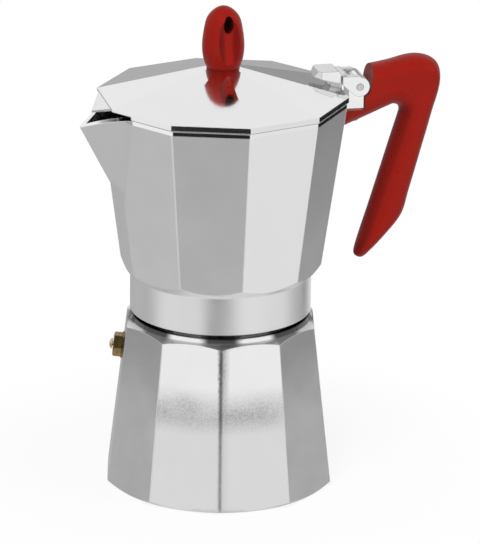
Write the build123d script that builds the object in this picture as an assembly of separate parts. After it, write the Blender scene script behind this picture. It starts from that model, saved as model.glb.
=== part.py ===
from build123d import *

import math
import os

# Ten-sided moka pot, in millimetres. The origin is the centre of the base, +Z is up,
# +X points to the handle and -X to the spout.

# Ten-sided outline. FLAT is the middle radius of a facet over its corner radius.
SIDES = 10
HALF_SIDE = math.pi / SIDES
FLAT = math.cos(HALF_SIDE)

# Screw joint between the boiler's neck and the collector's collar, right-hand
MOUTH_RADIUS = 32.5
NECK_WALL = 3.0
THREAD_PITCH = 3.0
THREAD_DEPTH = 1.3
THREAD_ROOT_WIDTH = 1.8
THREAD_CREST_WIDTH = 0.8
THREAD_GAP = 0.4
THREAD_TURNS = 2.5
COLLAR_WALL = 2.7
NECK_RADIUS = MOUTH_RADIUS + NECK_WALL
BORE_RADIUS = NECK_RADIUS + THREAD_DEPTH + THREAD_GAP
COLLAR_RADIUS = BORE_RADIUS + COLLAR_WALL

# Boiler
BOILER_HEIGHT = 77.0
FOOT_CORNER = 52.2
FOOT_INSET = 3.2
FOOT_RISE = 2.2
SHOULDER_STEP = 1.3
SHOULDER_RISE = 4.0
SHOULDER_SLOPE = math.radians(30)
LEDGE_INSET = 0.5
RIDGE_STEP = 1.2
NECK_HEIGHT = 11.0
BOILER_WALL = 3.2
BOILER_FLOOR = 4.0
BOILER_FLOOR_BEVEL = 1.0
BOILER_ROOF_DROP = 3.0
BOILER_EDGE_ROUND = 1.6
SHOULDER_CORNER = (COLLAR_RADIUS + SHOULDER_STEP) / FLAT
SHOULDER_HEIGHT = BOILER_HEIGHT - SHOULDER_RISE
BOILER_TAPER = (FOOT_CORNER - SHOULDER_CORNER) / SHOULDER_HEIGHT
NECK_TOP = BOILER_HEIGHT + NECK_HEIGHT

# Safety valve, square to the boiler facet it stands on
VALVE_ANGLE = math.radians(168)
VALVE_HEIGHT = 60.1
VALVE_HEX = 9.6
VALVE_HEX_HEIGHT = 3.7
VALVE_WASHER = 0.8
VALVE_WASHER_RADIUS = 6.0
VALVE_SHANK_RADIUS = 3.9
VALVE_SHANK_LENGTH = 7.5
VALVE_CHAMBER_RADIUS = 2.9
VALVE_SEAT_WALL = 1.5
VALVE_ORIFICE_RADIUS = 1.3
VALVE_SEAL = 0.8
VALVE_HEAD = 1.4
VALVE_HEAD_RADIUS = 2.4
VALVE_STEM_RADIUS = 1.0
VALVE_BUTTON_RADIUS = 2.35
VALVE_BUTTON_HEIGHT = 1.4
VALVE_BUTTON_GAP = 0.4
VALVE_RETAINER = 1.0
VALVE_RETAINER_SINK = 0.2
VALVE_WIRE = 0.5
VALVE_COILS = 6
VALVE_COIL_RADIUS = 1.7
VALVE_FIT = 0.05

# Funnel, gasket and filter plate
FUNNEL_WALL = 1.0
FUNNEL_GAP = 0.3
FUNNEL_FLANGE = 1.0
BASKET_DEPTH = 25.0
SCREEN_LEDGE = 3.2
FUNNEL_CONE = 10.0
STEM_BORE_RADIUS = 4.5
STEM_GAP = 4.5
SCREEN_THICKNESS = 0.8
SCREEN_RINGS = 4
SCREEN_HOLE_RADIUS = 0.8
SCREEN_MARGIN = 6.0
GASKET_HEIGHT = 4.0
GASKET_INNER_RADIUS = 28.5
GASKET_GAP = 0.6
FILTER_THICKNESS = 1.0
FILTER_MARGIN = 3.6
FILTER_GAP = 0.3
FLANGE_TOP = NECK_TOP + FUNNEL_FLANGE
FILTER_LOW = FLANGE_TOP + GASKET_HEIGHT
SEAT_HEIGHT = FILTER_LOW + FILTER_THICKNESS
FILTER_RADIUS = BORE_RADIUS - GASKET_GAP - FILTER_MARGIN

# Collector
COLLAR_GAP = 1.9
COLLAR_HEIGHT = 16.8
CHAMBER_STEP = 4.5
CHAMBER_HEIGHT = 71.8
RIM_CORNER = 54.3
RIM_BAND = 1.9
CHAMBER_WALL = 2.8
CHAMBER_EDGE_ROUND = 1.5
DOME_RADIUS = 30.0
DOME_RISE = 3.6
COLUMN_HEIGHT = 50.0
COLUMN_RADIUS = 8.5
COLUMN_TOP_RADIUS = 5.8
COLUMN_BORE_RADIUS = 4.2
COLUMN_SLOT_WIDTH = 3.4
COLUMN_SLOT_DEPTH = 6.0
COLLAR_LOW = BOILER_HEIGHT + COLLAR_GAP
COLLAR_TOP = COLLAR_LOW + COLLAR_HEIGHT
CHAMBER_CORNER = COLLAR_RADIUS + CHAMBER_STEP
CHAMBER_LOW = COLLAR_TOP + CHAMBER_STEP
RIM_LOW = CHAMBER_LOW + CHAMBER_HEIGHT
RIM_TOP = RIM_LOW + RIM_BAND
CHAMBER_TAPER = (RIM_CORNER - CHAMBER_CORNER) / CHAMBER_HEIGHT
RIM_FACE = RIM_CORNER * FLAT

# Spout, drawn out of the facet that faces -X
SPOUT_DEPTH = 39.0
SPOUT_LENGTH = 16.2
SPOUT_ROOT_SHARE = 0.33
SPOUT_HOLLOW = 2.4
SPOUT_ROUND = 1.2
SPOUT_WALL = 4.0
SPOUT_FLOOR = 5.0
LIP_DROP = 9.6
LIP_CROWN = 0.1

# Hinge, its bracket on the collector and its lug on the lid
HINGE_OUT = 7.9
HINGE_RISE = 4.4
HINGE_PIN_RADIUS = 1.5
HINGE_FIT = 0.05
EYE_RADIUS = 4.3
BRACKET_WIDTH = 9.0
BRACKET_SIDE_GAP = 0.3
TAIL_DROP = 6.2
TAIL_HEIGHT = 5.2
TAIL_LENGTH = 18.0
LUG_WIDTH = 16.0
LUG_PLATE_WIDTH = 12.6
LUG_FOOT_WIDTH = 8.4
LUG_FOOT = 5.2
LUG_LIFT = 2.6
LUG_REACH = 12.6
LUG_NOSE = 1.7
LUG_TOP = 5.8
LUG_RISE = 1.3
LUG_STEP = 1.0
LUG_SHOULDER = 4.9
LUG_BRIDGE = 2.6
HINGE_X = RIM_FACE + HINGE_OUT
HINGE_Z = RIM_TOP + HINGE_RISE
TAIL_LOW = RIM_TOP - TAIL_DROP

# Lid
LID_GAP = 0.4
LID_OVERHANG = 0.7
LID_SKIRT = 2.5
LID_RISE = 11.8
LID_SHEET = 1.0
LID_TOP_STEP = 0.45
BEAK_LENGTH = 5.6
BEAK_DROP = 5.0
BEAK_ROOT = 1.0
BEAK_INSET = 1.2
RIVET_RADIUS = 1.1
RIVET_HEAD_RADIUS = 2.0
RIVET_HEAD = 1.0
RIVET_DEPTH = 2.5
RIVET_SPACING = 4.6
RIVET_INSET = 3.4
KNOB_BASE_RADIUS = 7.2
LID_CORNER = RIM_CORNER + LID_OVERHANG
LID_LOW = RIM_TOP + LID_GAP
LID_EDGE = LID_LOW + LID_SKIRT
LID_TOP = LID_EDGE + LID_RISE
LID_TOP_CORNER = KNOB_BASE_RADIUS + LID_TOP_STEP
LID_SLOPE = math.atan2(LID_RISE, (LID_CORNER - LID_TOP_CORNER) * FLAT)

# Knob and what holds it
KNOB_HEIGHT = 27.2
KNOB_RADIUS = 9.2
KNOB_BELLY_HEIGHT = 9.0
SCOOP_HEIGHT = 19.5
SCOOP_RADIUS = 8.5
SCOOP_DEPTH = 3.1
SCOOP_CENTRE = 15.6
KNOB_HOLE_WIDTH = 4.4
KNOB_HOLE_HEIGHT = 7.8
KNOB_HOLE_CENTRE = 20.0
KNOB_TURN = 8.0
INSERT_RADIUS = 3.0
INSERT_LENGTH = 8.0
KNOB_SCREW_RADIUS = 1.95
KNOB_SCREW_REACH = 7.0
KNOB_SCREW_HEAD = 2.2
KNOB_SCREW_HEAD_RADIUS = 3.6
KNOB_WASHER = 0.8
KNOB_WASHER_RADIUS = 5.0
SCREW_FIT = 0.05

# Handle. Each corner of its side view is out from the rim's facet and up from the rim,
# with the radius that rounds it: the root, the inner corner, the tip, the heel, the outer
# top and the back. The root and the back lie inside the collector, where it is cut off.
HANDLE_CORNERS = [
    (-30.0, -27.9, 4.0),
    (29.6, -3.6, 3.2),
    (5.0, -84.4, 2.8),
    (29.6, -57.6, 16.0),
    (49.9, 18.8, 10.2),
    (-30.0, 4.4, 4.0),
]
HANDLE_THICKNESS = 16.4
HANDLE_TIP_THICKNESS = 14.0
HANDLE_NOSE = 16.0
HANDLE_INNER_ROUND = 8.5
HANDLE_OUTER_ROUND = 6.0
HANDLE_ARM = 34.0
ARM_SECTIONS = 4
ELBOW_SECTIONS = 7
GRIP_SECTIONS = 11
HANDLE_FRONT = 2.5
HANDLE_POCKET_GAP = 0.95
HANDLE_LEAN = math.radians(9)
HANDLE_SLOT_GAP = 0.1
HANDLE_SCREW_RADIUS = 1.95
HANDLE_SCREW_HEAD_RADIUS = 3.2
HANDLE_SCREW_HEAD = 2.2
HANDLE_SCREW_OUT = 5.9
HANDLE_SCREW_SEAT = 4.0
HANDLE_SCREW_REACH = 5.0
HANDLE_SCREW_GAP = 0.2


def outline(radius, height, turn=0.0):
    """Corners of the ten-sided outline; turn is the angle of one facet's middle."""
    angles = [turn + (2 * k + 1) * HALF_SIDE for k in range(SIDES)]
    return [Vector(radius * math.cos(a), radius * math.sin(a), height) for a in angles]


def flat_sided(low, high):
    """Closed solid with flat sides between two outlines whose corners match."""
    faces = [Face(Wire.make_polygon(low)), Face(Wire.make_polygon(high))]
    for k in range(len(low)):
        n = (k + 1) % len(low)
        faces.append(Face(Wire.make_polygon([low[k], low[n], high[n], high[k]])))
    return Solid(Shell(faces))


def turned(*points):
    """Solid turned about Z from (radius, height) points."""
    return revolve(Plane.XZ * make_face(Polyline(*points, close=True)), Axis.Z)


def side_plate(half_width, *edges):
    """Plate that lies along Y, from the edges of its outline in X and Z."""
    face = Plane.XZ * make_face(Curve() + list(edges))
    return extrude(face, half_width, both=True)


def side_polygon(half_width, *points):
    """Plate that lies along Y, from the corners of its outline in X and Z."""
    return side_plate(half_width, *Polyline(*points, close=True).edges())


def rod(radius, start, end):
    """Round rod between two heights on the Z axis."""
    upward = (Align.CENTER, Align.CENTER, Align.MIN)
    return Pos(0, 0, start) * Cylinder(radius, end - start, align=upward)


def rod_along_y(radius, half_length, x, z):
    """Round rod along Y, centred on the middle plane."""
    return Pos(x, 0, z) * Rot(90, 0, 0) * Cylinder(radius, 2 * half_length)


def thread(root_radius, crest_radius, start, turns):
    """Helical ridge that stands on a root radius and ends at a crest radius."""
    sink = 0.3 if crest_radius > root_radius else -0.3
    section = make_face(
        Polyline(
            (root_radius - sink, -THREAD_ROOT_WIDTH / 2),
            (root_radius, -THREAD_ROOT_WIDTH / 2),
            (crest_radius, -THREAD_CREST_WIDTH / 2),
            (crest_radius, THREAD_CREST_WIDTH / 2),
            (root_radius, THREAD_ROOT_WIDTH / 2),
            (root_radius - sink, THREAD_ROOT_WIDTH / 2),
            close=True,
        )
    )
    path = Helix(THREAD_PITCH, turns * THREAD_PITCH, root_radius)
    ridge = sweep(Plane.XZ * section, path, is_frenet=True)
    return Pos(0, 0, start) * ridge


def thread_start():
    """Height of the neck's ridge where it begins, over the collar's lower edge."""
    return COLLAR_LOW + THREAD_ROOT_WIDTH / 2 - THREAD_PITCH / 6


def boiler_corner(height):
    return FOOT_CORNER - BOILER_TAPER * height


def valve_plane():
    """Plane on the valve's facet, with its normal pointing out along the valve."""
    radius = boiler_corner(VALVE_HEIGHT) * FLAT
    tilt = math.atan(BOILER_TAPER * FLAT)
    across = math.cos(VALVE_ANGLE), math.sin(VALVE_ANGLE)
    return Plane(
        origin=(radius * across[0], radius * across[1], VALVE_HEIGHT),
        x_dir=(-across[1], across[0], 0),
        z_dir=(math.cos(tilt) * across[0], math.cos(tilt) * across[1], math.sin(tilt)),
    )


def boiler_cavity():
    foot_z = BOILER_FLOOR + BOILER_FLOOR_BEVEL
    foot_r = boiler_corner(foot_z) * FLAT - BOILER_WALL
    top_z = SHOULDER_HEIGHT - BOILER_ROOF_DROP
    top_r = boiler_corner(top_z) * FLAT - BOILER_WALL
    return turned(
        (0, BOILER_FLOOR),
        (foot_r - BOILER_FLOOR_BEVEL, BOILER_FLOOR),
        (foot_r, foot_z),
        (top_r, top_z),
        (MOUTH_RADIUS, top_z + top_r - MOUTH_RADIUS),
        (MOUTH_RADIUS, NECK_TOP + 1),
        (0, NECK_TOP + 1),
    )


def boiler():
    top = BOILER_HEIGHT + 1
    foot = outline(FOOT_CORNER, 0, VALVE_ANGLE)
    block = flat_sided(foot, outline(boiler_corner(top), top, VALVE_ANGLE))
    sides = [e for e in block.edges() if abs(e.tangent_at(0.5).Z) > 0.5]
    block = fillet(sides, BOILER_EDGE_ROUND)
    over = 2.0
    ledge = COLLAR_RADIUS - LEDGE_INSET
    ridge = ledge + RIDGE_STEP
    slope = math.tan(SHOULDER_SLOPE)
    blank = turned(
        (0, 0),
        (FOOT_CORNER - FOOT_INSET, 0),
        (FOOT_CORNER + over, FOOT_RISE * (FOOT_INSET + over) / FOOT_INSET),
        (FOOT_CORNER + over, SHOULDER_HEIGHT - (FOOT_CORNER + over - SHOULDER_CORNER) * slope),
        (ridge, SHOULDER_HEIGHT + (SHOULDER_CORNER - ridge) * slope),
        (ledge, BOILER_HEIGHT),
        (0, BOILER_HEIGHT),
    )
    body = (block & blank) + rod(NECK_RADIUS, BOILER_HEIGHT - 1, NECK_TOP)
    body += thread(NECK_RADIUS, NECK_RADIUS + THREAD_DEPTH, thread_start(), THREAD_TURNS)
    hole = valve_plane() * rod(VALVE_SHANK_RADIUS + VALVE_FIT, -VALVE_SHANK_LENGTH - 2, 2)
    return body - boiler_cavity() - hole


def valve_face():
    """Outer face of the hexagon, over the boiler facet."""
    return VALVE_WASHER + VALVE_HEX_HEIGHT


def valve_seat():
    return VALVE_WASHER - VALVE_SHANK_LENGTH + VALVE_SEAT_WALL


def valve_head_top():
    return valve_seat() + VALVE_SEAL + VALVE_HEAD


def valve_retainer_low():
    return valve_face() - VALVE_RETAINER_SINK - VALVE_RETAINER


def valve_washer():
    ring = rod(VALVE_WASHER_RADIUS, 0, VALVE_WASHER)
    return valve_plane() * (ring - rod(VALVE_SHANK_RADIUS + VALVE_FIT, -1, 2))


def valve_body():
    face = valve_face()
    hexagon = extrude(RegularPolygon(VALVE_HEX / 2, 6, major_radius=False), VALVE_HEX_HEIGHT)
    point = VALVE_HEX / 2 / math.cos(math.pi / 6)
    bevel = turned(
        (0, VALVE_WASHER),
        (point + 0.1, VALVE_WASHER),
        (point + 0.1, face - 0.5),
        (VALVE_HEX / 2, face),
        (0, face),
    )
    body = (Pos(0, 0, VALVE_WASHER) * hexagon) & bevel
    body += rod(VALVE_SHANK_RADIUS, VALVE_WASHER - VALVE_SHANK_LENGTH, VALVE_WASHER + 1)
    body -= rod(VALVE_CHAMBER_RADIUS, valve_seat(), face + 1)
    body -= rod(VALVE_ORIFICE_RADIUS, VALVE_WASHER - VALVE_SHANK_LENGTH - 1, face)
    return valve_plane() * body


def valve_retainer():
    low = valve_retainer_low()
    ring = rod(VALVE_CHAMBER_RADIUS - VALVE_FIT, low, low + VALVE_RETAINER)
    return valve_plane() * (ring - rod(VALVE_STEM_RADIUS + VALVE_FIT, low - 1, low + 2))


def valve_seal():
    seat = valve_seat()
    return valve_plane() * rod(VALVE_HEAD_RADIUS - VALVE_FIT, seat, seat + VALVE_SEAL)


def valve_pin():
    head = valve_head_top()
    button = valve_face() + VALVE_BUTTON_GAP
    pin = rod(VALVE_HEAD_RADIUS, head - VALVE_HEAD, head)
    pin += rod(VALVE_STEM_RADIUS, head - VALVE_HEAD, button + 0.5)
    dome = VALVE_BUTTON_HEIGHT - 0.5
    ball = (VALVE_BUTTON_RADIUS**2 + dome**2) / (2 * dome)
    cap = rod(VALVE_BUTTON_RADIUS, button, button + VALVE_BUTTON_HEIGHT)
    cap &= Pos(0, 0, button + VALVE_BUTTON_HEIGHT - ball) * Sphere(ball)
    return valve_plane() * (pin + cap)


def valve_spring():
    low = valve_head_top() + VALVE_WIRE / 2
    high = valve_retainer_low() - VALVE_WIRE / 2
    path = Helix((high - low) / VALVE_COILS, high - low, VALVE_COIL_RADIUS)
    wire = sweep(Plane.XZ * Pos(VALVE_COIL_RADIUS, 0) * Circle(VALVE_WIRE / 2), path, is_frenet=True)
    return valve_plane() * Pos(0, 0, low) * wire


def basket_seat():
    return FLANGE_TOP - BASKET_DEPTH


def funnel():
    outer = MOUTH_RADIUS - FUNNEL_GAP
    inner = outer - FUNNEL_WALL
    seat = basket_seat()
    flange = NECK_RADIUS - FUNNEL_GAP
    stem = STEM_BORE_RADIUS + FUNNEL_WALL
    stem_low = BOILER_FLOOR + STEM_GAP
    ledge = inner - SCREEN_LEDGE
    return turned(
        (inner, FLANGE_TOP),
        (inner, seat),
        (ledge, seat),
        (STEM_BORE_RADIUS, seat - FUNNEL_CONE),
        (STEM_BORE_RADIUS, stem_low),
        (stem, stem_low),
        (stem, seat - FUNNEL_CONE - 0.65 * FUNNEL_WALL),
        (ledge + 0.4 * FUNNEL_WALL, seat - FUNNEL_WALL),
        (outer, seat - FUNNEL_WALL),
        (outer, NECK_TOP),
        (flange, NECK_TOP),
        (flange, FLANGE_TOP),
    )


def perforated(radius, margin, low, thickness):
    """Disc with rings of small holes round one in the middle."""
    step = (radius - margin) / SCREEN_RINGS
    disc = Circle(radius) - Circle(SCREEN_HOLE_RADIUS)
    for ring in range(1, SCREEN_RINGS + 1):
        disc -= PolarLocations(ring * step, 6 * ring) * Circle(SCREEN_HOLE_RADIUS)
    return Pos(0, 0, low) * extrude(disc, thickness)


def funnel_screen():
    radius = MOUTH_RADIUS - FUNNEL_GAP - FUNNEL_WALL - FUNNEL_GAP
    return perforated(radius, SCREEN_MARGIN, basket_seat(), SCREEN_THICKNESS)


def gasket():
    outer = BORE_RADIUS - GASKET_GAP
    step = FILTER_RADIUS + FILTER_GAP
    return turned(
        (GASKET_INNER_RADIUS, FLANGE_TOP),
        (outer, FLANGE_TOP),
        (outer, SEAT_HEIGHT),
        (step, SEAT_HEIGHT),
        (step, FILTER_LOW),
        (GASKET_INNER_RADIUS, FILTER_LOW),
    )


def filter_plate():
    margin = FILTER_RADIUS - GASKET_INNER_RADIUS + 3.0
    return perforated(FILTER_RADIUS, margin, FILTER_LOW, FILTER_THICKNESS)


def chamber_corner(height):
    return CHAMBER_CORNER + CHAMBER_TAPER * (height - CHAMBER_LOW)


def spouted(low_corner, low, high_corner, high, reach):
    """Stretch of the chamber whose -X facet is drawn out into a V spout between two heights."""
    low_pts = outline(low_corner, low)
    high_pts = outline(high_corner, high)
    before, near, far, after = 3, 4, 5, 6
    low_mid = (low_pts[near] + low_pts[far]) / 2
    tip = Vector(-reach, 0, high)
    high_pts[near] = high_pts[near] + (high_pts[before] - high_pts[near]) * SPOUT_ROOT_SHARE
    high_pts[far] = high_pts[far] + (high_pts[after] - high_pts[far]) * SPOUT_ROOT_SHARE

    def hollow(start, end):
        chord = end - start
        inward = Vector(0, 0, 1).cross(chord).normalized() * SPOUT_HOLLOW
        if inward.X < 0:
            inward = -inward
        return Edge.make_three_point_arc(start, (start + end) / 2 + inward, end)

    arcs = [hollow(high_pts[near], tip), hollow(tip, high_pts[far])]
    feet = [Edge.make_line(low_pts[near], low_mid), Edge.make_line(low_mid, low_pts[far])]
    lids = [Edge.make_line(high_pts[k], high_pts[(k + 1) % SIDES]) for k in range(SIDES) if k != near]
    base = [Edge.make_line(low_pts[k], low_pts[(k + 1) % SIDES]) for k in range(SIDES) if k != near]
    faces = [Face.make_surface_from_curves(a, b) for a, b in zip(feet, arcs)]
    for k in range(SIDES):
        n = (k + 1) % SIDES
        if k != near:
            faces.append(Face(Wire.make_polygon([low_pts[k], low_pts[n], high_pts[n], high_pts[k]])))
    roof = Face(Wire(lids[:near] + arcs + lids[near:]))
    faces += [roof, Face(Wire(base[:near] + feet + base[near:]))]
    return Solid(Shell(faces))


def straight_up(body, rise):
    """The body with its top face carried straight up."""
    return body + extrude(body.faces().sort_by(Axis.Z)[-1], rise, dir=(0, 0, 1))


def chamber_block():
    """Ten-sided outside of the collector, with its spout and rounded corners."""
    split = RIM_LOW - SPOUT_DEPTH
    low = outline(chamber_corner(COLLAR_TOP), COLLAR_TOP)
    body = flat_sided(low, outline(chamber_corner(split), split))
    body += spouted(chamber_corner(split), split, RIM_CORNER, RIM_LOW, RIM_FACE + SPOUT_LENGTH)
    upright = [e for e in body.edges() if abs(e.tangent_at(0.5).Z) > 0.5]
    corners = [e for e in upright if e.center().X > -0.9 * CHAMBER_CORNER]
    body = fillet(corners, CHAMBER_EDGE_ROUND)
    ridge = [e for e in body.edges() if abs(e.center().Y) < 0.01 and abs(e.tangent_at(0.5).Z) > 0.5]
    return straight_up(fillet(ridge, SPOUT_ROUND), RIM_BAND)


def chamber_space():
    """Inside of the collector, over its floor."""
    step = CHAMBER_WALL / FLAT
    split = RIM_LOW - SPOUT_DEPTH + SPOUT_FLOOR
    reach = RIM_FACE + SPOUT_LENGTH - SPOUT_WALL
    low = outline(chamber_corner(CHAMBER_LOW) - step, CHAMBER_LOW)
    space = flat_sided(low, outline(chamber_corner(split) - step, split))
    space += spouted(chamber_corner(split) - step, split, RIM_CORNER - step, RIM_LOW, reach)
    return straight_up(space, RIM_BAND + 1)


def spout_lip():
    """Everything over the sloping lip of the spout."""
    split = RIM_LOW - SPOUT_DEPTH
    reach = RIM_FACE + SPOUT_LENGTH
    slope = (reach - chamber_corner(split) * FLAT) / SPOUT_DEPTH
    ridge = reach - (LIP_DROP - RIM_BAND) * slope
    start = (-spout_root(RIM_CORNER), RIM_TOP)
    end = (-ridge, RIM_TOP - LIP_DROP)
    middle = ((start[0] + end[0]) / 2 - LIP_CROWN * 0.46, (start[1] + end[1]) / 2 + LIP_CROWN * 0.89)
    beyond = (end[0] - 10, end[1] - 10)
    above = RIM_TOP + 10
    return side_plate(
        RIM_CORNER,
        ThreePointArc(start, middle, end),
        Polyline(end, beyond, (beyond[0], above), (start[0], above), start),
    )


def bracket():
    """Hinge bracket: a tail for the handle and an upright with the hinge eye."""
    inside = RIM_FACE - CHAMBER_WALL
    half = BRACKET_WIDTH / 2
    tail = side_polygon(
        half,
        (inside, TAIL_LOW),
        (RIM_FACE + TAIL_LENGTH, TAIL_LOW),
        (RIM_FACE + TAIL_LENGTH, TAIL_LOW + TAIL_HEIGHT),
        (inside, TAIL_LOW + TAIL_HEIGHT),
    )
    upright = side_polygon(
        half,
        (HINGE_X - EYE_RADIUS, TAIL_LOW),
        (HINGE_X + EYE_RADIUS, TAIL_LOW),
        (HINGE_X + EYE_RADIUS, HINGE_Z),
        (HINGE_X - EYE_RADIUS, HINGE_Z),
    )
    body = tail + upright + rod_along_y(EYE_RADIUS, half, HINGE_X, HINGE_Z)
    body -= rod_along_y(HINGE_PIN_RADIUS + HINGE_FIT, half + 1, HINGE_X, HINGE_Z)
    depth = HANDLE_SCREW_REACH + HANDLE_SCREW_GAP
    hole = rod(HANDLE_SCREW_RADIUS + SCREW_FIT, TAIL_LOW - 1, TAIL_LOW + depth)
    return body - Pos(RIM_FACE + HANDLE_SCREW_OUT, 0, 0) * hole


def collector():
    block = chamber_block()
    blank = turned(
        (0, COLLAR_TOP),
        (COLLAR_RADIUS, COLLAR_TOP),
        (2 * RIM_CORNER, COLLAR_TOP + 2 * RIM_CORNER - COLLAR_RADIUS),
        (2 * RIM_CORNER, RIM_TOP + 20),
        (0, RIM_TOP + 20),
    )
    body = (block & blank) + rod(COLLAR_RADIUS, COLLAR_LOW, COLLAR_TOP)
    body -= chamber_space()
    column = turned(
        (0, CHAMBER_LOW - 1),
        (COLUMN_RADIUS, CHAMBER_LOW - 1),
        (COLUMN_RADIUS, CHAMBER_LOW),
        (COLUMN_TOP_RADIUS, CHAMBER_LOW + COLUMN_HEIGHT),
        (0, CHAMBER_LOW + COLUMN_HEIGHT),
    )
    slot = Box(COLUMN_SLOT_WIDTH, 4 * COLUMN_RADIUS, 2 * COLUMN_SLOT_DEPTH)
    slot = Pos(0, 0, CHAMBER_LOW + COLUMN_HEIGHT) * slot
    body += column - slot
    body -= rod(BORE_RADIUS, COLLAR_LOW - 1, SEAT_HEIGHT)
    body -= turned(
        (0, SEAT_HEIGHT),
        (DOME_RADIUS, SEAT_HEIGHT),
        (COLUMN_BORE_RADIUS, SEAT_HEIGHT + DOME_RISE),
        (0, SEAT_HEIGHT + DOME_RISE),
    )
    body -= rod(COLUMN_BORE_RADIUS, SEAT_HEIGHT, CHAMBER_LOW + COLUMN_HEIGHT + 1)
    body -= spout_lip()
    body += bracket() - chamber_space()
    turns = THREAD_TURNS - 0.5
    body += thread(BORE_RADIUS, BORE_RADIUS - THREAD_DEPTH, thread_start() + THREAD_PITCH / 2, turns)
    return body


def hinge_pin():
    return rod_along_y(HINGE_PIN_RADIUS, LUG_WIDTH / 2 + 0.2, HINGE_X, HINGE_Z)


def lid_height(x):
    """Height of the lid's outside on the facet that faces the handle."""
    return LID_EDGE + (LID_CORNER * FLAT - x) * math.tan(LID_SLOPE)


def lid_cone(drop, inset, low):
    """Ten-sided pyramid with a skirt, lowered and drawn in."""
    rate = LID_RISE / (LID_CORNER - LID_TOP_CORNER)
    edge = LID_EDGE - drop + inset * rate
    skirt = flat_sided(outline(LID_CORNER - inset, low), outline(LID_CORNER - inset, edge))
    roof = flat_sided(outline(LID_CORNER - inset, edge), outline(LID_TOP_CORNER, LID_TOP - drop))
    return skirt + roof


def spout_root(radius):
    """Distance out to where the spout leaves its neighbouring facets."""
    corner = radius * math.cos(HALF_SIDE)
    return corner + (radius * math.cos(3 * HALF_SIDE) - corner) * SPOUT_ROOT_SHARE


def beak():
    """Pointed end of the lid that bends down over the spout."""
    face = LID_CORNER * FLAT
    half = LID_CORNER * math.sin(HALF_SIDE) - BEAK_INSET
    root = Vector(-(face - BEAK_ROOT), 0, LID_EDGE + BEAK_ROOT * math.tan(LID_SLOPE))
    tip = Vector(-(face + BEAK_LENGTH), 0, LID_EDGE - BEAK_DROP)
    corners = [root + Vector(0, half, 0), tip, root - Vector(0, half, 0)]
    return extrude(Face(Wire.make_polygon(corners)), LID_SHEET / math.cos(LID_SLOPE), dir=(0, 0, -1))


def skirt_gap():
    """Block that leaves the skirt open over the spout."""
    start = spout_root(LID_CORNER)
    under = LID_EDGE - LID_SHEET / math.cos(LID_SLOPE)
    return side_polygon(
        LID_CORNER,
        (-start, LID_LOW - 1),
        (-start, under),
        (-2 * LID_CORNER, under),
        (-2 * LID_CORNER, LID_LOW - 1),
    )


def rivet_plane():
    """Plane on the lid facet under the hinge lug."""
    x = LID_CORNER * FLAT - RIVET_INSET
    return Plane(
        origin=(x, 0, lid_height(x)),
        x_dir=(math.cos(LID_SLOPE), 0, -math.sin(LID_SLOPE)),
        z_dir=(math.sin(LID_SLOPE), 0, math.cos(LID_SLOPE)),
    )


def at_rivets(shape):
    places = [Pos(0, side * RIVET_SPACING / 2, 0) for side in (-1, 1)]
    return [rivet_plane() * place * shape for place in places]


def lid():
    drop = LID_SHEET / math.cos(LID_SLOPE)
    inset = LID_SHEET / FLAT
    sheet = lid_cone(0, 0, LID_LOW) - lid_cone(drop, inset, LID_LOW - 1)
    sheet = sheet - skirt_gap() + beak()
    for hole in at_rivets(rod(RIVET_RADIUS + SCREW_FIT, -5, 5)):
        sheet -= hole
    return sheet - rod(KNOB_SCREW_RADIUS + SCREW_FIT, LID_TOP - 10, LID_TOP + 1)


def lid_hinge():
    """Lug on a short foot, with a thumb plate above the lid and two cheeks round the bracket's eye."""
    edge = LID_CORNER * FLAT
    nose = edge - LUG_REACH
    foot = edge - LUG_FOOT
    cheek = edge - 0.6
    low = lid_height(cheek) + LUG_LIFT
    top = HINGE_Z + LUG_TOP
    shoulder = HINGE_Z + LUG_SHOULDER
    body = side_polygon(
        LUG_WIDTH / 2,
        (cheek, low),
        (cheek, shoulder),
        (HINGE_X - 0.4, shoulder),
        (HINGE_X + 1.2, HINGE_Z + EYE_RADIUS * 0.9),
        (HINGE_X, HINGE_Z - EYE_RADIUS),
        (HINGE_X - EYE_RADIUS * 0.6, HINGE_Z - EYE_RADIUS * 0.8),
    )
    body += rod_along_y(EYE_RADIUS, LUG_WIDTH / 2, HINGE_X, HINGE_Z)
    body += side_polygon(
        LUG_PLATE_WIDTH / 2,
        (nose, lid_height(nose) + LUG_LIFT),
        (nose + LUG_NOSE, top + LUG_RISE),
        (edge - 1.1 - LUG_STEP, top + LUG_RISE),
        (edge - 1.1, top),
        (edge + 1.2, top),
        (edge + 2.0, shoulder - 1),
        (cheek, low),
    )
    body += side_polygon(
        LUG_FOOT_WIDTH / 2,
        (foot, lid_height(foot)),
        (foot, lid_height(foot) + LUG_LIFT + 1),
        (edge, low + 1),
        (edge, lid_height(edge)),
    )
    gap = BRACKET_WIDTH / 2 + BRACKET_SIDE_GAP
    body -= side_polygon(
        gap,
        (edge + LUG_BRIDGE, HINGE_Z - 10),
        (HINGE_X + 10, HINGE_Z - 10),
        (HINGE_X + 10, HINGE_Z + 20),
        (edge + LUG_BRIDGE, HINGE_Z + 20),
    )
    nose_cut = 3.0
    for side in (-1, 1):
        wedge = [
            (nose - 1, side * (LUG_PLATE_WIDTH / 2 - nose_cut - 1)),
            (nose - 1, side * (LUG_PLATE_WIDTH / 2 + 1)),
            (nose + nose_cut + 1, side * (LUG_PLATE_WIDTH / 2 + 1)),
        ]
        body -= Pos(0, 0, LID_LOW) * extrude(make_face(Polyline(*wedge, close=True)), 40)
    for hole in at_rivets(rod(RIVET_RADIUS + SCREW_FIT, -2, RIVET_DEPTH + 0.1)):
        body -= hole
    return body - rod_along_y(HINGE_PIN_RADIUS + HINGE_FIT, LUG_WIDTH, HINGE_X, HINGE_Z)


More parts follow.
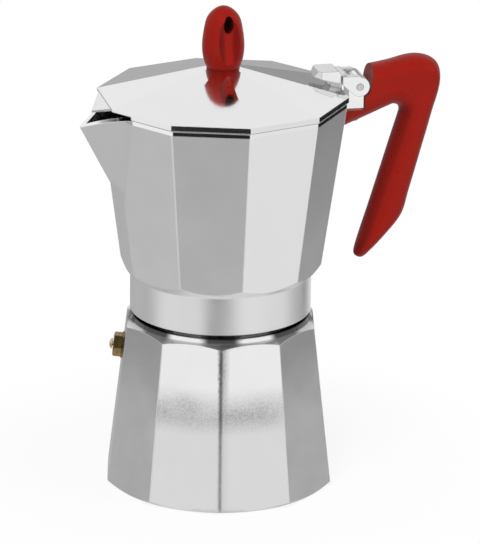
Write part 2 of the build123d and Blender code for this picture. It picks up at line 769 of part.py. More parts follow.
def lid_rivets():
    low = -LID_SHEET
    rivet = rod(RIVET_RADIUS, low - 0.1, RIVET_DEPTH) + rod(RIVET_HEAD_RADIUS, low - RIVET_HEAD, low)
    return Compound(children=[shape.solid() for shape in at_rivets(rivet)])


def knob():
    profile = Spline(
        (KNOB_BASE_RADIUS, 0),
        (KNOB_RADIUS, KNOB_BELLY_HEIGHT),
        (0.90 * KNOB_RADIUS, 0.655 * KNOB_HEIGHT),
        (0.74 * KNOB_RADIUS, 0.83 * KNOB_HEIGHT),
        (0, KNOB_HEIGHT),
        tangents=[(0.5, 1), (-1, 0)],
        tangent_scalars=[1, 0.92],
    )
    half_view = make_face(profile + Polyline((0, KNOB_HEIGHT), (0, 0), (KNOB_BASE_RADIUS, 0)))
    body = revolve(Plane.XZ * half_view, Axis.Z)
    half = EllipticalCenterArc((0, 0), SCOOP_RADIUS, SCOOP_HEIGHT, start_angle=-90, arc_size=180)
    egg = revolve(Plane.XZ * make_face(half + Line((0, SCOOP_HEIGHT), (0, -SCOOP_HEIGHT))), Axis.Z)
    away = KNOB_RADIUS - SCOOP_DEPTH + SCOOP_RADIUS
    for side in (-1, 1):
        body -= Pos(0, side * away, SCOOP_CENTRE) * egg
    hole = Plane.XZ * Pos(0, KNOB_HOLE_CENTRE) * Ellipse(KNOB_HOLE_WIDTH / 2, KNOB_HOLE_HEIGHT / 2)
    body -= extrude(hole, 2 * KNOB_RADIUS, both=True)
    body -= rod(INSERT_RADIUS + SCREW_FIT, -1, INSERT_LENGTH)
    return Pos(0, 0, LID_TOP) * Rot(0, 0, KNOB_TURN) * body


def knob_insert():
    sleeve = rod(INSERT_RADIUS, 0, INSERT_LENGTH)
    return Pos(0, 0, LID_TOP) * (sleeve - rod(KNOB_SCREW_RADIUS + SCREW_FIT, -1, INSERT_LENGTH + 1))


def lid_under():
    """Height of the lid's underside at its middle."""
    return LID_TOP - LID_SHEET / math.cos(LID_SLOPE)


def knob_washer():
    top = lid_under()
    ring = rod(KNOB_WASHER_RADIUS, top - KNOB_WASHER, top)
    return ring - rod(KNOB_SCREW_RADIUS + SCREW_FIT, top - 5, top + 1)


def knob_screw():
    seat = lid_under() - KNOB_WASHER
    screw = rod(KNOB_SCREW_HEAD_RADIUS, seat - KNOB_SCREW_HEAD, seat)
    screw += rod(KNOB_SCREW_RADIUS, seat - 1, LID_TOP + KNOB_SCREW_REACH)
    slot = Pos(0, 0, seat - KNOB_SCREW_HEAD) * Box(4 * KNOB_SCREW_HEAD_RADIUS, 1.0, 2.0)
    return screw - slot


def handle_corners():
    return [(RIM_FACE + x, RIM_TOP + z, radius) for x, z, radius in HANDLE_CORNERS]


def handle_view():
    """Side view of the handle, with each corner rounded."""
    corners = handle_corners()
    face = make_face(Polyline(*[(x, z) for x, z, radius in corners], close=True))
    for x, z, radius in corners:
        face = fillet(face.vertices().sort_by_distance((x, z, 0))[0], radius)
    return face


def rounding_centre(corner, before, after):
    """Centre of the arc that rounds one corner of the side view."""
    point = Vector(corner[0], corner[1])
    ways = [(Vector(near[0], near[1]) - point).normalized() for near in (before, after)]
    half_angle = math.acos(ways[0].dot(ways[1])) / 2
    return point + (ways[0] + ways[1]).normalized() * (corner[2] / math.sin(half_angle))


def handle_section(view, start, way, thickness):
    """Rounded face across the handle, on a ray that crosses its side view."""
    ray = Edge.make_line(start, start + way * 2 * RIM_CORNER)
    piece = (view & ray).edges().sort_by_distance(start)[0]
    inner, outer = sorted([piece @ 0, piece @ 1], key=lambda point: (point - start).length)
    depth = (outer - inner).length
    half = thickness / 2
    front = min(HANDLE_INNER_ROUND, 0.55 * depth)
    back = min(HANDLE_OUTER_ROUND, 0.4 * depth)
    edges = [
        EllipticalCenterArc((front, 0), front, half, start_angle=90, arc_size=180),
        Line((front, -half), (depth - back, -half)),
        EllipticalCenterArc((depth - back, 0), back, half, start_angle=-90, arc_size=180),
        Line((depth - back, half), (front, half)),
    ]
    plane = Plane((inner.X, 0, inner.Y), x_dir=(way.X, 0, way.Y), z_dir=(-way.Y, 0, way.X))
    return plane * make_face(Curve() + edges)


def grip_thickness(run, reach):
    """Thickness of the grip some way down it, with a round nose at its end."""
    share = run / reach
    full = HANDLE_THICKNESS + (HANDLE_TIP_THICKNESS - HANDLE_THICKNESS) * share
    nose = min(1, (reach - run) / HANDLE_NOSE)
    return full * math.sqrt(1 - (1 - nose) ** 2)


def handle_blank():
    """Handle before its cuts: sections along the arm, fanned round the inner corner, down the grip."""
    view = handle_view()
    root, arm, tip, heel, top, back = handle_corners()
    pivot = rounding_centre(arm, root, tip)
    inner_corner = Vector(arm[0], arm[1])
    under = (Vector(root[0], root[1]) - inner_corner).normalized()
    down = (Vector(tip[0], tip[1]) - inner_corner).normalized()
    first = math.atan2(-under.X, under.Y)
    last = math.atan2(down.X, -down.Y)
    angles = [first + (last - first) * k / (ELBOW_SECTIONS - 1) for k in range(ELBOW_SECTIONS)]
    ways = [Vector(math.cos(angle), math.sin(angle)) for angle in angles]
    sections = []
    for k in range(ARM_SECTIONS):
        start = pivot + under * (HANDLE_ARM * (1 - k / ARM_SECTIONS))
        sections.append(handle_section(view, start, ways[0], HANDLE_THICKNESS))
    for way in ways:
        sections.append(handle_section(view, pivot, way, HANDLE_THICKNESS))
    reach = (rounding_centre(tip, arm, heel) - pivot).dot(down) + tip[2]
    for k in range(1, GRIP_SECTIONS + 1):
        run = reach * math.sin(k / (GRIP_SECTIONS + 0.5) * math.pi / 2)
        thickness = grip_thickness(run, reach)
        sections.append(handle_section(view, pivot + down * run, ways[-1], thickness))
    return loft(sections)


def hinge_room():
    """Room in front of the handle for the hinge, its bracket and the lid's swing."""
    front = HINGE_X + HANDLE_FRONT
    pocket = EYE_RADIUS + HANDLE_POCKET_GAP
    low = HINGE_Z - math.sqrt(pocket**2 - HANDLE_FRONT**2)
    half_angle = math.asin((HINGE_Z - low) / pocket) / 2
    middle = (HINGE_X + pocket * math.cos(half_angle), HINGE_Z - pocket * math.sin(half_angle))
    back = (HINGE_X + pocket, HINGE_Z)
    top = HINGE_Z + 30
    back_top = (back[0] + 30 * math.tan(HANDLE_LEAN), top)
    start = (HINGE_X - 30, TAIL_LOW)
    return side_plate(
        LUG_WIDTH,
        Line(start, (front, TAIL_LOW)),
        Line((front, TAIL_LOW), (front, low)),
        ThreePointArc((front, low), middle, back),
        Polyline(back, back_top, (start[0], top), start),
    )


def handle():
    body = handle_blank()
    body -= flat_sided(
        outline(chamber_corner(CHAMBER_LOW), CHAMBER_LOW),
        outline(chamber_corner(RIM_TOP + 20), RIM_TOP + 20),
    )
    body -= hinge_room()
    half = BRACKET_WIDTH / 2 + HANDLE_SLOT_GAP
    tail_end = RIM_FACE + TAIL_LENGTH + HANDLE_SLOT_GAP
    tail_top = TAIL_LOW + TAIL_HEIGHT + HANDLE_SLOT_GAP
    upright = HINGE_X + EYE_RADIUS + HANDLE_SLOT_GAP
    body -= side_polygon(
        half,
        (HINGE_X - 30, TAIL_LOW),
        (tail_end, TAIL_LOW),
        (tail_end, tail_top),
        (upright, tail_top),
        (upright, HINGE_Z),
        (HINGE_X - 30, HINGE_Z),
    )
    seat = TAIL_LOW - HANDLE_SCREW_SEAT
    hole = rod(HANDLE_SCREW_RADIUS + SCREW_FIT, seat - 1, TAIL_LOW + 1)
    hole += rod(HANDLE_SCREW_HEAD_RADIUS + HANDLE_SCREW_GAP, seat - 20, seat)
    return body - Pos(RIM_FACE + HANDLE_SCREW_OUT, 0, 0) * hole


def handle_screw():
    seat = TAIL_LOW - HANDLE_SCREW_SEAT
    screw = rod(HANDLE_SCREW_HEAD_RADIUS, seat - HANDLE_SCREW_HEAD, seat)
    screw += rod(HANDLE_SCREW_RADIUS, seat - 1, TAIL_LOW + HANDLE_SCREW_REACH)
    slot = Pos(0, 0, seat - HANDLE_SCREW_HEAD) * Box(4 * HANDLE_SCREW_HEAD_RADIUS, 1.0, 2.0)
    return Pos(RIM_FACE + HANDLE_SCREW_OUT, 0, 0) * (screw - slot)


PIECES = [
    boiler,
    valve_body,
    valve_washer,
    valve_pin,
    valve_seal,
    valve_spring,
    valve_retainer,
    funnel,
    funnel_screen,
    gasket,
    filter_plate,
    collector,
    handle,
    handle_screw,
    hinge_pin,
    lid,
    lid_hinge,
    lid_rivets,
    knob,
    knob_insert,
    knob_screw,
    knob_washer,
]

os.makedirs("parts", exist_ok=True)
for piece in PIECES:
    export_step(piece(), f"parts/{piece.__name__}.step")
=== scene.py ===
import math

import bpy
from mathutils import Matrix, Vector


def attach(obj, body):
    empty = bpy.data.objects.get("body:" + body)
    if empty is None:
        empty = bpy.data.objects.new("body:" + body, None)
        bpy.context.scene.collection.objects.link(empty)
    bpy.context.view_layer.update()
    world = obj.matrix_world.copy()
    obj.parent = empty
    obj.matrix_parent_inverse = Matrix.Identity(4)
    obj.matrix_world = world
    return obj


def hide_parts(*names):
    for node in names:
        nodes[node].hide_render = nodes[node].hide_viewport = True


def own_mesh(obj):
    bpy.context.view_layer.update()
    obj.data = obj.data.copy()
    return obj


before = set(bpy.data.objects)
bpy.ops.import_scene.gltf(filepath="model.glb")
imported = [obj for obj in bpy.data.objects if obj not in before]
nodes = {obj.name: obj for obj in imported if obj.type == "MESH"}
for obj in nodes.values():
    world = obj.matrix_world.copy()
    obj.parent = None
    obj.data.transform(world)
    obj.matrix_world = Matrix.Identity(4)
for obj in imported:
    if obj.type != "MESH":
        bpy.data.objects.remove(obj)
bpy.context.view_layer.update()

# Heights at which the painted shade and the polish change, in metres from the base
# Bottom and top of the painted reflection belt, a dark band across the boiler's front facets
PAINTED_BELT_LOW = 0.033
PAINTED_BELT_HIGH = 0.057
SHOULDER_LOW = 0.0650
SIDE_TOP = 0.0730
GLINT_LOW = 0.0752
NECK_LOW = 0.0768
COLLAR_TOP = 0.0957
RIM_LOW = 0.1720

# Distances from the axis in metres: where the shoulder's ring starts and ends, and, towards the
# handle, where the hinge bracket starts
RING_INSIDE = 0.0400
RING_OUTSIDE = 0.0470
BRACKET_START = 0.0535

# Angles in degrees: the boiler's front edge from +X, one facet of the boiler, and how far off the
# front edge a painted glint is missing on each side
FRONT_EDGE = 258
FACET = 36
GLINT_GAP = 67

# How many painted glints go round the boiler's shoulder
GLINTS = 8

# Where the lights and the camera aim
POT_MIDDLE = (0, 0, 0.1)


# Node helpers

def new_material(name):
    material = bpy.data.materials.new(name)
    material.use_nodes = True
    tree = material.node_tree
    shader = tree.nodes["Principled BSDF"]
    return material, tree, shader


def add(tree, kind, **settings):
    node = tree.nodes.new(kind)
    for key, value in settings.items():
        setattr(node, key, value)
    return node


def feed(tree, value, socket):
    """Links a socket to another one, or sets it to a plain value."""
    if isinstance(value, bpy.types.NodeSocket):
        tree.links.new(value, socket)
    else:
        socket.default_value = value


def math_node(tree, operation, first, second=None):
    node = add(tree, "ShaderNodeMath", operation=operation)
    feed(tree, first, node.inputs[0])
    if second is not None:
        feed(tree, second, node.inputs[1])
    return node.outputs[0]


def product(tree, first, *others):
    result = first
    for value in others:
        result = math_node(tree, "MULTIPLY", result, value)
    return result


def vector_node(tree, operation, first, second=None):
    """A dot product or a length gives a number, and the other operations a vector."""
    node = add(tree, "ShaderNodeVectorMath", operation=operation)
    feed(tree, first, node.inputs[0])
    if second is not None:
        feed(tree, second, node.inputs[1])
    return node.outputs["Value" if operation in ("DOT_PRODUCT", "LENGTH") else "Vector"]


def map_range(tree, value, span, result, smooth=True):
    """The value carried from one span to another, and held at the ends."""
    node = add(tree, "ShaderNodeMapRange")
    node.interpolation_type = "SMOOTHSTEP" if smooth else "LINEAR"
    feed(tree, value, node.inputs["Value"])
    names = ("From Min", "From Max", "To Min", "To Max")
    for name, number in zip(names, (*span, *result)):
        node.inputs[name].default_value = number
    return node.outputs["Result"]


def step_at(tree, value, edge, below, above, blur=0.0003):
    return map_range(tree, value, (edge - blur, edge + blur), (below, above))


def blend(tree, factor, first, second):
    node = add(tree, "ShaderNodeMix", data_type="FLOAT")
    feed(tree, factor, node.inputs[0])
    feed(tree, first, node.inputs[2])
    feed(tree, second, node.inputs[3])
    return node.outputs[0]


def mix_colours(tree, factor, first, second):
    node = add(tree, "ShaderNodeMix", data_type="RGBA")
    feed(tree, factor, node.inputs[0])
    feed(tree, (*first, 1), node.inputs[6])
    feed(tree, (*second, 1), node.inputs[7])
    return node.outputs[2]


def shaded(tree, colour, shade):
    """Colour multiplied by a grey value."""
    node = add(tree, "ShaderNodeMix", data_type="RGBA", blend_type="MULTIPLY")
    node.inputs[0].default_value = 1.0
    tree.links.new(colour, node.inputs[6])
    tree.links.new(shade, node.inputs[7])
    return node.outputs[2]


def object_coords(tree):
    return add(tree, "ShaderNodeTexCoord").outputs["Object"]


def own_normal(tree):
    """Normal in the piece's own coordinates."""
    return add(tree, "ShaderNodeTexCoord").outputs["Normal"]


def split(tree, vector):
    node = add(tree, "ShaderNodeSeparateXYZ")
    tree.links.new(vector, node.inputs[0])
    return node.outputs


def height(tree, vector):
    return split(tree, vector)["Z"]


def flattened(tree, vector):
    """The vector's level part."""
    return vector_node(tree, "MULTIPLY", vector, (1, 1, 0))


def level_direction(tree, vector):
    return vector_node(tree, "NORMALIZE", flattened(tree, vector))


def noise(tree, coords, scale, detail=2.0, rough=0.5):
    node = add(tree, "ShaderNodeTexNoise")
    node.inputs["Scale"].default_value = scale
    node.inputs["Detail"].default_value = detail
    node.inputs["Roughness"].default_value = rough
    tree.links.new(coords, node.inputs["Vector"])
    return node.outputs["Fac"]


def bump(tree, relief, strength, distance, normal=None):
    node = add(tree, "ShaderNodeBump")
    node.inputs["Strength"].default_value = strength
    node.inputs["Distance"].default_value = distance
    tree.links.new(relief, node.inputs["Height"])
    if normal is not None:
        tree.links.new(normal, node.inputs["Normal"])
    return node.outputs["Normal"]


def soft_edges(tree, radius):
    """Rounded look at the edges, with a radius that is a number or a socket."""
    node = add(tree, "ShaderNodeBevel", samples=4)
    feed(tree, radius, node.inputs["Radius"])
    return node.outputs["Normal"]


def painted_hollow_shade(tree, reach, dark, alone=True):
    """Painted shade: one in the open, falling to a dark value in hollows no wider than the reach."""
    node = add(tree, "ShaderNodeAmbientOcclusion", samples=8, only_local=alone)
    node.inputs["Distance"].default_value = reach
    return map_range(tree, node.outputs["AO"], (0.35, 0.85), (dark, 1.0))


def painted_edge_lines(tree):
    """Painted reflection: dark on sharp edges, where the rounded normal turns away from the face's
    own.
    """
    radius = 0.0005
    dark = 0.40
    face_normal = add(tree, "ShaderNodeNewGeometry").outputs["True Normal"]
    agreement = vector_node(tree, "DOT_PRODUCT", soft_edges(tree, radius), face_normal)
    return map_range(tree, agreement, (0.86, 0.99), (dark, 1.0))


# Places on the pot

def facing_in(tree, coords):
    """One on faces that look towards the pot's axis, nought on the others."""
    outward = vector_node(tree, "DOT_PRODUCT", level_direction(tree, coords), own_normal(tree))
    return map_range(tree, outward, (-0.4, -0.2), (1.0, 0.0))


def around(tree, coords):
    """Angle round the pot's axis, in radians from +X."""
    xyz = split(tree, coords)
    return math_node(tree, "ARCTAN2", xyz["Y"], xyz["X"])


def from_axis(tree, coords):
    return vector_node(tree, "LENGTH", flattened(tree, coords))


def past_front(tree, coords):
    """Angle past the boiler's front edge, in degrees, counted towards the handle."""
    turn = math_node(tree, "SUBTRACT", around(tree, coords), math.radians(FRONT_EDGE - 360))
    return product(tree, turn, math.degrees(1))


def off_front(tree, coords):
    """Angle off the boiler's front edge, in degrees, to either side."""
    return math_node(tree, "ABSOLUTE", past_front(tree, coords))


def shoulder_mask(tree, coords):
    """One on the boiler's turned shoulder, nought elsewhere."""
    facing_up = map_range(tree, height(tree, own_normal(tree)), (0.25, 0.40), (0.0, 1.0))
    high = step_at(tree, height(tree, coords), SHOULDER_LOW, 0.0, 1.0)
    return product(tree, facing_up, high)


# Painted shade, painted reflections and polish, by place

def painted_reflection_belt(tree, coords):
    """Depth of the painted reflection belt across the two front facets, a dark band broken up by
    grain.
    """
    z = height(tree, coords)
    middle = (PAINTED_BELT_LOW + PAINTED_BELT_HIGH) / 2
    rising = map_range(tree, z, (PAINTED_BELT_LOW, middle), (0.0, 1.0))
    falling = map_range(tree, z, (middle, PAINTED_BELT_HIGH), (1.0, 0.0))
    belt = product(tree, rising, falling)
    patches = map_range(tree, noise(tree, coords, scale=42.0), (0.35, 0.65), (0.28, 0.52))
    fine = noise(tree, coords, scale=1100.0, detail=3.0, rough=0.8)
    grains = map_range(tree, fine, (0.35, 0.65), (0.50, 0.95))
    return product(tree, patches, grains, belt)


def painted_front_line(tree, coords):
    """Painted reflection: a dark line down the front edge, widest at the top, where it smears out in
    grains on one side.
    """
    z = height(tree, coords)
    climb = (0.02, 0.07)
    ragged = map_range(tree, noise(tree, coords, scale=900.0), (0.3, 0.7), (-0.4, 0.4), smooth=False)
    away = product(tree, off_front(tree, coords), map_range(tree, z, climb, (1.8, 1.0)))
    mask = map_range(tree, math_node(tree, "ADD", away, ragged), (0.0, 2.4), (1.0, 0.0))
    line = product(tree, mask, map_range(tree, z, climb, (0.36, 0.80)))
    past = past_front(tree, coords)
    fading = map_range(tree, past, (0.3, 6.0), (0.75, 0.0))
    one_sided = map_range(tree, past, (-0.5, 0.3), (0.0, 1.0))
    rising = map_range(tree, z, (0.034, 0.066), (0.2, 1.0))
    fine = noise(tree, coords, scale=2600.0, rough=0.7)
    grains = map_range(tree, fine, (0.38, 0.62), (0.35, 1.0))
    smear = product(tree, fading, one_sided, rising, grains)
    return math_node(tree, "SUBTRACT", 1.0, math_node(tree, "MAXIMUM", line, smear))


def front_shade(tree, coords):
    """Painted shade on the two front facets: darker below, with the painted reflection belt and the
    painted dark line down their edge.
    """
    # Painted shade: the front facets darker towards the bottom
    lower = map_range(tree, height(tree, coords), (PAINTED_BELT_LOW, PAINTED_BELT_HIGH), (0.83, 1.0))
    belted = math_node(tree, "SUBTRACT", lower, painted_reflection_belt(tree, coords))
    return product(tree, belted, painted_front_line(tree, coords))


def shoulder_shade(tree, coords):
    """Painted reflection on the turned shoulder: a dark ring, and painted glints inside it with one
    missing on each side.
    """
    off = off_front(tree, coords)
    wave = math_node(tree, "COSINE", product(tree, off, math.radians(GLINTS)))
    ring = map_range(tree, from_axis(tree, coords), (RING_INSIDE, RING_OUTSIDE), (0.20, 0.40))
    ring = product(tree, ring, map_range(tree, wave, (-0.6, 0.6), (2.8, 0.85)))
    ring = math_node(tree, "MINIMUM", ring, 0.95)
    to_gap = math_node(tree, "ABSOLUTE", math_node(tree, "SUBTRACT", off, GLINT_GAP))
    glints = map_range(tree, wave, (-0.4, 0.5), (1.0, 0.08))
    glints = product(tree, glints, map_range(tree, to_gap, (11, 15), (0.12, 1.0)))
    return blend(tree, step_at(tree, height(tree, coords), GLINT_LOW, 0.0, 1.0), ring, glints)


def boiler_shade(tree, coords):
    """Painted shade on the boiler: belted facets in front, sides painted darker upwards, the turned
    shoulder and a neck painted dark as shade under the collar.
    """
    z = height(tree, coords)
    # Painted shade: the side facets darker towards the top
    side = map_range(tree, z, (PAINTED_BELT_LOW, SIDE_TOP), (1.0, 0.72))
    at_side = step_at(tree, off_front(tree, coords), FACET, 0.0, 1.0, blur=0.3)
    facets = blend(tree, at_side, front_shade(tree, coords), side)
    whole = blend(tree, shoulder_mask(tree, coords), facets, shoulder_shade(tree, coords))
    # Painted shade: the neck darkened, as in the gap under the collar
    return product(tree, whole, step_at(tree, z, NECK_LOW, 1.0, 0.40))


def boiler_gloss(tree, coords):
    """Mirror on the turned shoulder."""
    return map_range(tree, shoulder_mask(tree, coords), (0.0, 1.0), (1.0, 0.3))


def boiler_edge(tree, coords):
    """Radius that softens the edges: the front one is worn rounder than the rest."""
    worn = 0.0024
    crisp = 0.0006
    wear_ends = 14
    return step_at(tree, off_front(tree, coords), wear_ends, worn, crisp, blur=2.0)


def collector_shade(tree, coords):
    """The raw casting inside is duller than the polished outside; the hinge bracket's edges carry
    painted reflection as dark lines.
    """
    inside = map_range(tree, facing_in(tree, coords), (0.0, 1.0), (1.0, 0.70))
    collar = step_at(tree, height(tree, coords), COLLAR_TOP, 0.92, 1.0)
    off_bracket = step_at(tree, split(tree, coords)["X"], BRACKET_START, 1.0, 0.0)
    # Painted reflection: dark lines on the hinge bracket's edges
    edges = math_node(tree, "MAXIMUM", painted_edge_lines(tree), off_bracket)
    return product(tree, inside, collar, edges)


def collector_gloss(tree, coords):
    """Mirror on the rim, satin on the collar and dull inside."""
    z = height(tree, coords)
    rim = step_at(tree, z, RIM_LOW, 1.0, 0.3)
    body = map_range(tree, z, (COLLAR_TOP, RIM_LOW), (1.25, 1.0))
    collar = step_at(tree, z, COLLAR_TOP, 1.5, 1.0)
    inside = map_range(tree, facing_in(tree, coords), (0.0, 1.0), (1.0, 2.2))
    return product(tree, rim, body, collar, inside)


def lug_shade(tree, coords):
    """Painted reflection as dark edges, and painted shade where the lug stands close to other pieces.
    """
    hollow = painted_hollow_shade(tree, reach=0.004, dark=0.55, alone=False)
    return product(tree, hollow, painted_edge_lines(tree))


def grip_shade(tree, coords):
    """Painted shade: the side of the handle towards the pot is darker."""
    return map_range(tree, split(tree, own_normal(tree))["X"], (-0.9, -0.2), (0.55, 1.0))


def scoop_shade(tree, coords):
    """Painted shade, darker where the knob's skin turns away from its axis, round the walls of the
    scoops.
    """
    level_normal = level_direction(tree, own_normal(tree))
    outward = vector_node(tree, "DOT_PRODUCT", level_direction(tree, coords), level_normal)
    return map_range(tree, outward, (0.75, 0.99), (0.62, 1.0))


def flats_shade(tree, coords):
    """Painted reflection on the valve's flats: the slanting upper flats darker, the top flat and the
    lower ones brighter.
    """
    facing_up = height(tree, own_normal(tree))
    slanting = map_range(tree, facing_up, (-0.4, 0.4), (2.2, 0.52))
    top = map_range(tree, facing_up, (0.6, 0.9), (0.0, 1.4))
    return math_node(tree, "ADD", slanting, top)


# Materials

def aluminium(name, tint, rough, spread, grain, edge=0.0004, shade=None, gloss=None):
    """Polished cast aluminium: faint cloudy tone, uneven polish and a fine grain."""
    material, tree, shader = new_material(name)
    coords = object_coords(tree)
    shader.inputs["Metallic"].default_value = 1.0
    clouds = noise(tree, coords, scale=22.0, detail=3.0)
    cloudy = tuple(c * 0.96 for c in tint)
    colour = mix_colours(tree, clouds, cloudy, tint)
    if shade:
        colour = shaded(tree, colour, shade(tree, coords))
    tree.links.new(colour, shader.inputs["Base Color"])
    uneven = noise(tree, coords, scale=55.0, detail=4.0, rough=0.6)
    polish = map_range(tree, uneven, (0.3, 0.7), (rough - spread, rough + spread))
    if gloss:
        polish = product(tree, polish, gloss(tree, coords))
    tree.links.new(polish, shader.inputs["Roughness"])
    fine = noise(tree, coords, scale=1900.0, rough=0.7)
    radius = edge(tree, coords) if callable(edge) else edge
    normal = bump(tree, fine, strength=grain, distance=0.00005, normal=soft_edges(tree, radius))
    tree.links.new(normal, shader.inputs["Normal"])
    return material


def plastic(name, deep, bright, shade):
    """Moulded red plastic with a faint orange-peel skin, painted darker as shade and matt in its
    hollows.
    """
    material, tree, shader = new_material(name)
    coords = object_coords(tree)
    clouds = noise(tree, coords, scale=60.0, detail=3.0)
    # Painted shade in the hollows, which also turns them matt
    hollow = painted_hollow_shade(tree, reach=0.007, dark=0.25)
    colour = shaded(tree, mix_colours(tree, clouds, deep, bright), hollow)
    # Painted shade from the piece's own shade function
    colour = shaded(tree, colour, shade(tree, coords))
    tree.links.new(colour, shader.inputs["Base Color"])
    shader.inputs["Specular IOR Level"].default_value = 0.09
    skin = noise(tree, coords, scale=420.0, detail=3.0, rough=0.55)
    gloss = map_range(tree, skin, (0.3, 0.7), (0.26, 0.36))
    matt = map_range(tree, hollow, (0.25, 0.9), (0.95, 0.0))
    tree.links.new(math_node(tree, "MAXIMUM", gloss, matt), shader.inputs["Roughness"])
    rounded = soft_edges(tree, radius=0.0005)
    normal = bump(tree, skin, strength=0.12, distance=0.0002, normal=rounded)
    tree.links.new(normal, shader.inputs["Normal"])
    return material


def turned_metal(name, dark, bright, rough, shade=None):
    """Machined metal, darker and less polished in stains."""
    material, tree, shader = new_material(name)
    coords = object_coords(tree)
    shader.inputs["Metallic"].default_value = 1.0
    stains = noise(tree, coords, scale=260.0, detail=4.0, rough=0.6)
    colour = mix_colours(tree, stains, dark, bright)
    if shade:
        colour = shaded(tree, colour, shade(tree, coords))
    tree.links.new(colour, shader.inputs["Base Color"])
    polish = map_range(tree, stains, (0.3, 0.7), (rough + 0.08, rough - 0.06))
    tree.links.new(polish, shader.inputs["Roughness"])
    tree.links.new(soft_edges(tree, radius=0.0003), shader.inputs["Normal"])
    return material


def rubber(name):
    material, tree, shader = new_material(name)
    powder = noise(tree, object_coords(tree), scale=300.0, detail=4.0, rough=0.6)
    colour = mix_colours(tree, powder, (0.55, 0.53, 0.48), (0.72, 0.70, 0.65))
    tree.links.new(colour, shader.inputs["Base Color"])
    tree.links.new(map_range(tree, powder, (0.3, 0.7), (0.55, 0.75)), shader.inputs["Roughness"])
    tree.links.new(bump(tree, powder, strength=0.2, distance=0.0001), shader.inputs["Normal"])
    return material


def dress():
    bright = (0.88, 0.88, 0.885)
    boiler_polish = aluminium(
        "boiler_polish", bright, rough=0.24, spread=0.03, grain=0.10,
        edge=boiler_edge, shade=boiler_shade, gloss=boiler_gloss,
    )
    collector_polish = aluminium(
        "collector_polish", bright, rough=0.19, spread=0.02, grain=0.04,
        edge=0.0005, shade=collector_shade, gloss=collector_gloss,
    )
    lid_polish = aluminium("lid_polish", (0.83, 0.83, 0.84), rough=0.09, spread=0.015, grain=0.03)
    lug_polish = aluminium("lug_polish", bright, rough=0.15, spread=0.03, grain=0.04, shade=lug_shade)
    plain = aluminium("plain_aluminium", (0.80, 0.80, 0.80), rough=0.33, spread=0.06, grain=0.2)
    handle_plastic = plastic(
        "handle_plastic", (0.245, 0.0085, 0.0045), (0.285, 0.0105, 0.0055), grip_shade
    )
    knob_plastic = plastic(
        "knob_plastic", (0.245, 0.0080, 0.0045), (0.285, 0.0100, 0.0055), scoop_shade
    )
    # The brass carries painted reflection on its flats
    brass = turned_metal("brass", (0.04, 0.027, 0.010), (0.23, 0.165, 0.066), 0.30, flats_shade)
    pale_brass = turned_metal("pale_brass", (0.42, 0.30, 0.14), (0.80, 0.66, 0.42), 0.24)
    steel = turned_metal("steel", (0.50, 0.50, 0.50), (0.72, 0.72, 0.72), 0.26)
    seal_rubber = rubber("seal_rubber")
    finishes = {
        boiler_polish: ["boiler"],
        collector_polish: ["collector"],
        lid_polish: ["lid"],
        lug_polish: ["lid_hinge"],
        plain: ["funnel", "funnel_screen", "filter_plate", "lid_rivets"],
        handle_plastic: ["handle"],
        knob_plastic: ["knob"],
        brass: ["valve_body", "valve_washer", "valve_retainer", "knob_insert"],
        pale_brass: ["valve_pin"],
        steel: ["valve_spring", "handle_screw", "hinge_pin", "knob_screw", "knob_washer"],
        seal_rubber: ["gasket", "valve_seal"],
    }
    for material, names in finishes.items():
        for name in names:
            mesh = nodes[name].data
            mesh.materials.clear()
            mesh.materials.append(material)


def pressed_spring():
    """The valve's coil as a piece of its own, attached to the boiler."""
    spring = bpy.data.objects.new("valve_coil", nodes["valve_spring"].data.copy())
    bpy.context.scene.collection.objects.link(spring)
    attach(spring, "boiler")
    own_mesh(spring)
    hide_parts("valve_spring")


# Stage

# Strength of the white room as the metal mirrors it, and as it lights everything else
MIRRORED_ROOM = 0.97
LIGHTING_ROOM = 0.40

# Soft dark cards that the polished metal sees: azimuth and elevation, the half-angles of the core
# and of the soft edge, and the share of light left
DARK_CARDS = [
    ((247, -19), 5, 8, 0.02),
    ((31, -19), 5, 8, 0.02),
    ((18, -20), 6, 10, 0.45),
    ((246, -37), 9, 14, 0.44),
    ((211, -38), 13, 19, 0.62),
    ((319, -36), 14, 26, 0.86),
    ((39, -29), 9, 14, 0.42),
    ((165, -41), 18, 22, 0.53),
    ((140, -30), 26, 32, 0.53),
    ((97, -23), 17, 21, 0.46),
    ((259, -5), 13, 21, 0.10),
    ((153, -11), 8, 16, 0.41),
    ((133, -19), 8, 12, 0.52),
    ((4, -11), 8, 16, 0.39),
    ((69, 9), 7, 11, 0.36),
    ((77, -8), 8, 11, 0.45),
    ((83, 5), 5, 8, 0.48),
    ((300, 66), 14, 20, 0.45),
    ((54, 2), 9, 15, 0.42),
    ((112, 2), 9, 15, 0.48),
    ((190, 2), 10, 16, 0.48),
    ((336, 2), 9, 15, 0.42),
    ((66, -40), 12, 17, 0.50),
    ((358, -42), 12, 16, 0.48),
    ((283, -44), 9, 14, 0.55),
]


def direction(azimuth, elevation):
    a = math.radians(azimuth)
    e = math.radians(elevation)
    return Vector((math.cos(a) * math.cos(e), math.sin(a) * math.cos(e), math.sin(e)))


def past_cards(tree, look):
    """Share of light left in a direction, where the darkest card counts."""
    share = None
    for place, core, edge, left in DARK_CARDS:
        nearness = vector_node(tree, "DOT_PRODUCT", look, direction(*place))
        span = (math.cos(math.radians(edge)), math.cos(math.radians(core)))
        card = map_range(tree, nearness, span, (1.0, left))
        share = card if share is None else math_node(tree, "MINIMUM", share, card)
    return share


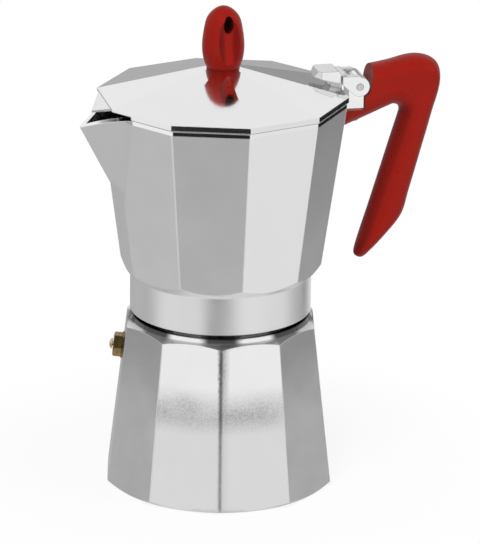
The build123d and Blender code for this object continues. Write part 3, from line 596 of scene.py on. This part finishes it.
def studio_world():
    """White to the camera; the metal sees a pale room with a few soft dark cards."""
    world = bpy.data.worlds.new("studio")
    bpy.context.scene.world = world
    world.cycles.sampling_method = "NONE"
    world.use_nodes = True
    tree = world.node_tree
    tree.nodes.clear()
    ray = add(tree, "ShaderNodeLightPath").outputs
    look = add(tree, "ShaderNodeTexCoord").outputs["Generated"]
    mirrored = product(tree, past_cards(tree, look), MIRRORED_ROOM)
    lit = blend(tree, ray["Is Glossy Ray"], LIGHTING_ROOM, mirrored)
    plain = math_node(tree, "MAXIMUM", ray["Is Camera Ray"], ray["Is Transmission Ray"])
    background = add(tree, "ShaderNodeBackground")
    background.inputs["Color"].default_value = (1, 1, 1, 1)
    tree.links.new(blend(tree, plain, lit, 1.0), background.inputs["Strength"])
    output = add(tree, "ShaderNodeOutputWorld")
    tree.links.new(background.outputs[0], output.inputs["Surface"])


def floor_paper():
    """Pale paper that fades into the white room away from the pot."""
    material = bpy.data.materials.new("floor_paper")
    material.use_nodes = True
    tree = material.node_tree
    tree.nodes.clear()
    paper = add(tree, "ShaderNodeBsdfDiffuse")
    paper.inputs["Color"].default_value = (0.86, 0.86, 0.86, 1)
    glow = add(tree, "ShaderNodeEmission")
    distance = vector_node(tree, "LENGTH", object_coords(tree))
    fade = map_range(tree, distance, (0.05, 0.17), (0.82, 1.0))
    ray = add(tree, "ShaderNodeLightPath").outputs
    mix = add(tree, "ShaderNodeMixShader")
    tree.links.new(product(tree, fade, ray["Is Camera Ray"]), mix.inputs[0])
    tree.links.new(paper.outputs[0], mix.inputs[1])
    tree.links.new(glow.outputs[0], mix.inputs[2])
    output = add(tree, "ShaderNodeOutputMaterial")
    tree.links.new(mix.outputs[0], output.inputs["Surface"])
    return material


def studio_floor():
    """Floor that keeps the pot's soft shadow, a hair below the base."""
    size = 8.0
    corners = [(-size, -size, 0), (size, -size, 0), (size, size, 0), (-size, size, 0)]
    mesh = bpy.data.meshes.new("floor")
    mesh.from_pydata(corners, [], [(0, 1, 2, 3)])
    mesh.materials.append(floor_paper())
    floor = bpy.data.objects.new("floor", mesh)
    bpy.context.scene.collection.objects.link(floor)
    floor.location.z = -0.0002
    floor.visible_glossy = False


def soft_box(name, place, size, power):
    lamp = bpy.data.lights.new(name, "AREA")
    lamp.shape = "DISK"
    lamp.size = size
    lamp.energy = power
    holder = bpy.data.objects.new(name, lamp)
    bpy.context.scene.collection.objects.link(holder)
    holder.location = place
    holder.rotation_mode = "QUATERNION"
    holder.rotation_quaternion = (Vector(POT_MIDDLE) - Vector(place)).to_track_quat("-Z", "Y")
    holder.visible_camera = False
    holder.visible_glossy = False


def camera():
    """Long lens, seen from slightly left of the front and above, with a very small roll."""
    azimuth = -12.764
    elevation = 18.735
    roll = math.radians(0.642)
    away = 1.8785
    focal = 4269.8
    middle = (220.84, 259.95)
    frame_size = (480, 544)
    sensor = 36
    back = direction(azimuth - 90, elevation)
    level = direction(azimuth, 0)
    upright = back.cross(level)
    right = level * math.cos(roll) + upright * math.sin(roll)
    up = upright * math.cos(roll) - level * math.sin(roll)
    aside = right * (frame_size[0] / 2 - middle[0]) - up * (frame_size[1] / 2 - middle[1])
    look = (back * focal - aside).normalized()
    side = up.cross(look).normalized()
    rise = look.cross(side)
    lens = bpy.data.cameras.new("camera")
    lens.sensor_width = sensor
    lens.lens = sensor * focal / frame_size[1]
    lens.clip_start = 0.05
    lens.clip_end = 50
    holder = bpy.data.objects.new("camera", lens)
    bpy.context.scene.collection.objects.link(holder)
    turn = Matrix((side, rise, look)).transposed().to_4x4()
    holder.matrix_world = Matrix.Translation(Vector(POT_MIDDLE) + back * away) @ turn
    bpy.context.scene.camera = holder


dress()
pressed_spring()

# The metal mirrors the pale room alone, without the handle
nodes["handle"].visible_glossy = False

studio_world()
studio_floor()
soft_box("key", (-0.6, -1.2, 1.5), size=1.2, power=29)
soft_box("fill", (1.3, -0.9, 0.9), size=1.0, power=7)
camera()
bpy.context.scene.view_settings.view_transform = "Standard"
